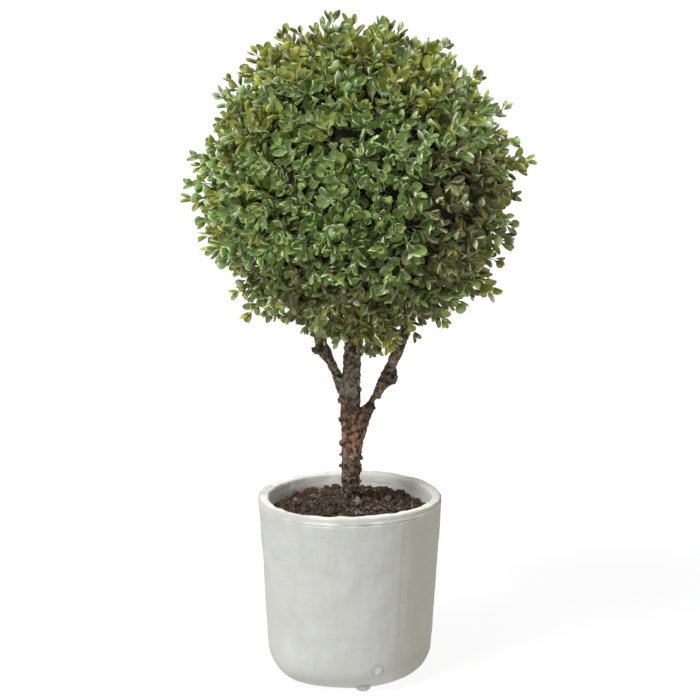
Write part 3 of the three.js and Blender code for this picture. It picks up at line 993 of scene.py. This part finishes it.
def towards(bearing, rise):
    """The direction at a bearing from +X and a rise, in degrees."""
    b, r = math.radians(bearing), math.radians(rise)
    return np.array([math.cos(r) * math.cos(b), math.cos(r) * math.sin(b), math.sin(r)])


def outline(direction):
    """How far the clipped outline reaches from the ball's centre in a direction, in millimetres."""
    x, y, z = direction
    waves = (4 * x + 3 * z + 1, 5 * z - 4 * y, 6 * y + 5 * x + 2)
    return BALL_RADIUS * (1 + 0.008 * sum(math.sin(wave) for wave in waves))


LIMB_POINTS = np.array([point for limb in LIMBS for point in smooth_line(limb, 8)])


def near_limb(point):
    gaps = np.linalg.norm(LIMB_POINTS[:, :3] - point, axis=1) - LIMB_POINTS[:, 3]
    return gaps.min() < LIMB_CLEARANCE


def in_gap(point):
    """Whether a point lies in one of the gaps on the front."""
    right, behind, up = point - BALL_CENTRE
    up += GAP_DROP * behind
    return behind < 0 and any(math.hypot(right - x, up - z) < r for x, z, r in FRONT_GAPS)


def matrix(root, along, normal, scale):
    place = np.eye(4)
    place[:3, 0] = np.cross(along, normal) * scale
    place[:3, 1] = along * scale
    place[:3, 2] = normal * scale
    place[:3, 3] = root * MM
    return place


def bent_stem(foot, end, bend, thick):
    """The middle and radius of each ring of a thin stem that bends on its way from foot to end."""
    ways = [i / STEM_STEPS for i in range(STEM_STEPS + 1)]
    return [
        (foot + (end - foot) * t + bend * (4 * t * (1 - t)), thick * (1 - 0.5 * t)) for t in ways
    ]


# Leaf tints, from deep green to yellow: tone, share of the leaves, and tints of edge and underside
TINTS = {
    "deep": ((90, 124, 58), 0.22, "green", "green"),
    "green": ((117, 157, 72), 0.28, "green", "green"),
    "fresh": ((161, 192, 118), 0.2, "green", "green"),
    "olive": ((138, 150, 62), 0.17, "olive", "olive"),
    "yellow": ((187, 192, 76), 0.13, "olive", "olive"),
    # Grey: pale grey-green leaves, partly a painted sheen, dealt more high up as painted light from
    # above
    "grey": ((167, 183, 146), 0, "grey", "green"),
    # Brown: withered leaves, and painted shade where shade_at deals it
    "brown": ((90, 80, 47), 0, "brown", "olive"),
    # A dull tint for leaves in painted shade
    "dusky": ((97, 99, 60), 0, "dusky", "dusky"),
}
# Pale tints of the leaves' edges, lighter than their faces: painted highlight
EDGE_HIGHLIGHTS = {
    "green": (173, 196, 140), "grey": (194, 204, 170), "olive": (182, 186, 100),
    "brown": (118, 106, 66), "dusky": (143, 142, 98),
}
UNDERSIDES = {"green": (131, 152, 80), "olive": (151, 156, 70), "dusky": (106, 107, 64)}
# How far a leaf's share may stray from its sprig's
TINT_SPREAD = 0.2


class Foliage:
    """The leaves and stems dealt out so far: the place of each leaf, by finish and shape."""

    def __init__(self):
        self.stems = []
        self.dealt = {}

    def leaf(self, root, along, normal, scale, share, ripe, shape):
        tip = root + along * LEAF_LENGTH * scale
        if near_limb(tip) or near_limb((root + tip) / 2):
            return
        # Lighter tints high up and deeper ones low down: painted light from above and painted shade
        # below
        share += TINT_SPREAD * (random() - 0.5) + 0.0019 * (root[2] - BALL_CENTRE[2])
        high = max(root[2] - BALL_CENTRE[2], 0) / BALL_RADIUS
        tint = deal_tint(share, min(warmth(root) * ripe, 0.95), shade_at(root), high)
        if in_gap((root + tip) / 2):
            return
        place = matrix(root, along, normal, scale)
        _, _, edge, under = TINTS[tint]
        for finish in (("face", tint), ("edge", edge), ("under", under)):
            self.dealt.setdefault(finish, {}).setdefault(shape, []).append(place)


def deal_tint(share, warm, shade, high):
    """The tint at a share of the way from deep green to yellow: yellower by warm, duller and browner by
    painted shade, and greyer high up as a painted highlight from above."""
    stray = random()
    # Painted shade: the dull tint where shade_at is high
    if stray < 0.6 * shade:
        return "dusky"
    # Brown leaves: withered ones, more at warm places, and painted shade
    if stray < 0.02 + 0.22 * warm + 0.72 * shade:
        return "brown"
    # Grey leaves, more of them high up: a painted highlight from above
    if stray > 0.84 + 0.14 * warm - 0.2 * high:
        return "grey"
    share += (1 - share) * warm
    total = 0
    for tint, (_, part, _, _) in TINTS.items():
        total += part
        if share < total:
            return tint
    return "yellow"


def warmth(point):
    """How yellow the leaves are at a place: more low down, at the sides where the ball turns from front
    to back, as painted light shining through the leaves, on tips that stand out and in patches behind."""
    across, behind, up = (point - BALL_CENTRE) / BALL_RADIUS
    out = math.sqrt(across**2 + behind**2 + up**2)
    back = min(max(2 * behind + 0.5, 0), 1)
    wave = math.sin(4 * across + 1) * math.sin(5 * up + 2 * behind)
    # Painted light: yellow at the sides, where the ball turns from front to back, stands in for light
    # shining through the leaves
    side = max(0.78 - abs(behind), 0) * (1 + 0.25 * wave) * (1 - 0.5 * back)
    side *= 1 - 0.6 * shade_at(point)
    return max(-up - 0.2, 0) * 0.3 + max(out - 0.9, 0) * 3.2 + side + 0.4 * back * max(wave, 0)


def shade_at(point):
    """How much painted shade the leaves get at a place, from 0 to 1, drawn as brown and dull tints: low
    down and on the right, but not where the ball turns from front to back."""
    direction = unit(point - BALL_CENTRE)
    right = max(np.dot(direction, towards(*SHADY_SIDE)) - 0.84, 0) * 9
    turned = min(max(4 * abs(direction[1]) - 0.6, 0), 1)
    return min(right + max(-direction[2] - 0.2, 0) * 1.6, 1) * turned


def sprig(foliage, direction, reach):
    """One sprig that stands out of the ball towards direction, with whorls of leaves up to its tip."""
    lean = sideways(direction, random() * 2 * math.pi)
    tilt = SPRIG_LEAN * random() * min(1, 4 * (1.06 - reach / BALL_RADIUS))
    axis = unit(direction * math.cos(tilt) + lean * math.sin(tilt))
    turn = random() * 2 * math.pi
    scale = 0.8 + 0.36 * random()
    tip = direction * reach + BALL_CENTRE
    end = tip - axis * LEAF_LENGTH * scale * WHORLS[-1][2] * math.cos(WHORLS[-1][1])
    foot = end - axis * (SPRIG_LENGTH + 4)
    if near_limb(end) or near_limb(end - axis * 8):
        return
    share = 0.62 * random()
    ripe = 0.5 + share * 23 % 1
    stem = bent_stem(foot, end, lean * (random() - 0.5) * 4, STEM_THICK)
    if not in_gap(end):
        foliage.stems.append(stem)
    for up, spread, size, narrow in WHORLS:
        node = end - axis * (1 - up) * SPRIG_LENGTH
        turn += math.pi / 3 + 0.4 * random()
        for i in range(3):
            side = sideways(axis, turn + i * 2 * math.pi / 3 + 0.5 * (random() - 0.5))
            opening = spread * (0.72 + 0.56 * random())
            along = axis * math.cos(opening) + side * math.sin(opening)
            normal = axis * math.sin(opening) - side * math.cos(opening)
            normal = spin_round(normal, along, 1.6 * (random() - 0.5))
            own = scale * size * (0.85 + 0.3 * random())
            shape = int(random() ** narrow * len(LEAF_SHAPES))
            foliage.leaf(node + side * 0.3, along, normal, own, share, ripe, shape)


def low_leaf(foliage, direction):
    """A leaf that stands straight out of the core and leans over it."""
    side = sideways(direction, random() * 2 * math.pi)
    lean = 0.4 + 0.6 * random()
    along = direction * math.cos(lean) + side * math.sin(lean)
    normal = direction * math.sin(lean) - side * math.cos(lean)
    root = direction * (CORE_RADIUS + 1) + BALL_CENTRE
    scale = 1 + 0.25 * random()
    foliage.leaf(root, along, normal, scale, 0, 1, int(random() * len(LEAF_SHAPES)))


def stem_mesh(stems):
    """All the stems as one mesh, each a tapering tube with closed ends."""
    points, faces = [], []
    for rings in stems:
        start = len(points)
        axis = unit(rings[-1][0] - rings[0][0])
        across = sideways(axis, 0)
        beside = np.cross(axis, across)
        for place, radius in rings:
            for k in range(STEM_SIDES):
                angle = 2 * math.pi * k / STEM_SIDES
                out = across * math.cos(angle) + beside * math.sin(angle)
                points.append((place + out * radius) * MM)
        last = len(points) - STEM_SIDES
        for ring in range(start, last, STEM_SIDES):
            for k in range(STEM_SIDES):
                a = ring + k
                b = ring + (k + 1) % STEM_SIDES
                faces += [(a, b, b + STEM_SIDES), (a, b + STEM_SIDES, a + STEM_SIDES)]
        for k in range(1, STEM_SIDES - 1):
            faces += [(last, last + k, last + k + 1), (start, start + k + 1, start + k)]
    return mesh_from(np.array(points), np.array(faces))


def bare_twigs():
    """Thin brown twigs, most of them bare, that show between the leaves or poke out of them."""
    twigs = []
    for i in range(BARE_TWIGS):
        direction = even_direction(i, BARE_TWIGS)
        lean = sideways(direction, random() * 2 * math.pi)
        axis = unit(direction + lean * 0.8 * random())
        end = direction * outline(direction) * (0.86 + 0.08 * random()) + BALL_CENTRE
        foot = end - axis * TWIG_LENGTH
        if near_limb(end) or near_limb(foot + axis * 20):
            continue
        twigs.append(bent_stem(foot, end, lean * 14 * (random() - 0.5), TWIG_THICK))
    return twigs


def limb_twigs():
    """Twigs that leave the limbs under the ball and run up into it."""
    twigs = []
    for limb, low, high in zip(LIMBS, (232, 224, 224), (258, 262, 262)):
        line = [p for p in smooth_line(limb, 8) if low < p[2] < high]
        for i in range(LIMB_TWIGS):
            foot = line[int((i + 0.5) * len(line) / LIMB_TWIGS)][:3]
            if np.linalg.norm(foot - BALL_CENTRE) > 0.9 * BALL_RADIUS:
                continue
            bearing = random() * 2 * math.pi
            out = np.array([math.cos(bearing), math.sin(bearing), 0.9 + 0.5 * random()])
            end = foot + unit(out) * (24 + 14 * random())
            twigs.append(bent_stem(foot, end, np.array([0, 0, -2.0]), LIMB_TWIG_THICK))
    return twigs


def reach_at(direction, hollows):
    """How far the sprig towards direction reaches: short ones in the hollows."""
    share = SPRIG_SHORTEST + (1 - SPRIG_SHORTEST) * random() ** 2
    for hollow, width in hollows:
        if np.dot(direction, hollow) > math.cos(width):
            share = min(share, HOLLOW_REACH)
    return outline(direction) * share


def make_foliage():
    shapes = [model_leaf(*sizes) for sizes in LEAF_SHAPES]
    foliage = Foliage()
    for bearing, rise, reach in STRAYS:
        sprig(foliage, towards(bearing, rise), reach)
    hollows = []
    for i in range(HOLLOWS):
        near = even_direction(i, HOLLOWS)
        wander = sideways(near, random() * 2 * math.pi) * 0.16 * random()
        if near[1] > -0.6:
            hollows.append((unit(near + wander), HOLLOW_WIDTH * (0.5 + 0.7 * random())))
    gaps = [(towards(bearing, rise), width) for bearing, rise, width in BOUGH_GAPS]
    for i in range(SPRIGS):
        direction = even_direction(i, SPRIGS)
        direction = unit(direction + sideways(direction, random() * 2 * math.pi) * 0.06 * random())
        if all(np.dot(direction, gap) < math.cos(width) for gap, width in gaps):
            sprig(foliage, direction, reach_at(direction, hollows))
    for i in range(LOW_LEAVES):
        low_leaf(foliage, even_direction(i, LOW_LEAVES))
    for bearing, rise, reach in FILLING:
        sprig(foliage, towards(bearing, rise), reach)
    gloss = {"face": (0.42, 0.55), "edge": (0.38, 0.45), "under": (0.5, 0)}
    faces = {tint: colour for tint, (colour, _, _, _) in TINTS.items()}
    colours = {"face": faces, "edge": EDGE_HIGHLIGHTS, "under": UNDERSIDES}
    for (side, tint), by_shape in foliage.dealt.items():
        parts = [copies(shapes[k][side], places) for k, places in by_shape.items()]
        finish = plain_finish(f"leaf {side} {tint}", colours[side][tint], *gloss[side])
        finish_piece(joined(parts), f"leaf_{side}s_{tint}", finish)
    stems = stem_mesh(foliage.stems)
    finish_piece(stems, "sprig_stems", plain_finish("stem", (118, 108, 62), 0.6))
    twigs = stem_mesh(bare_twigs() + limb_twigs())
    finish_piece(twigs, "brown_twigs", plain_finish("twig", (84, 64, 48), 0.75))


# The set


def make_set():
    """Camera, floor and lights."""
    camera = hang("camera", bpy.data.cameras.new("camera"))
    camera.location = CAMERA_PLACE
    camera.rotation_euler = (math.radians(90 - LOOK_DOWN), 0, 0)
    camera.data.sensor_width = SENSOR_WIDTH
    camera.data.lens = LENS
    bpy.context.scene.camera = camera

    floor = add("plane", size=40)
    floor.name = "floor"
    material, start = new_finish("pale floor")
    glow = {"Emission Color": (1, 1, 1, 1), "Emission Strength": FLOOR_GLOW}
    close_finish(start, (*[FLOOR_GREY] * 3, 1), 0.9, others=glow)
    floor.data.materials.append(material)

    world = bpy.data.worlds.new("studio")
    bpy.context.scene.world = world
    world.use_nodes = True
    background = world.node_tree.nodes["Background"]
    background.inputs["Color"].default_value = (1, 1, 1, 1)
    background.inputs["Strength"].default_value = SKY_STRENGTH
    lamp = bpy.data.lights.new("soft key", "SUN")
    lamp.energy = KEY_STRENGTH
    lamp.angle = math.radians(KEY_WIDTH)
    turn = Vector(KEY_AIM).to_track_quat("-Z", "Y")
    hang("soft key", lamp).rotation_euler = turn.to_euler()
    bpy.context.scene.view_settings.view_transform = "Standard"


make_set()
make_pot()
make_soil_bed()
make_crumbs()
make_bark()
make_core()
make_foliage()
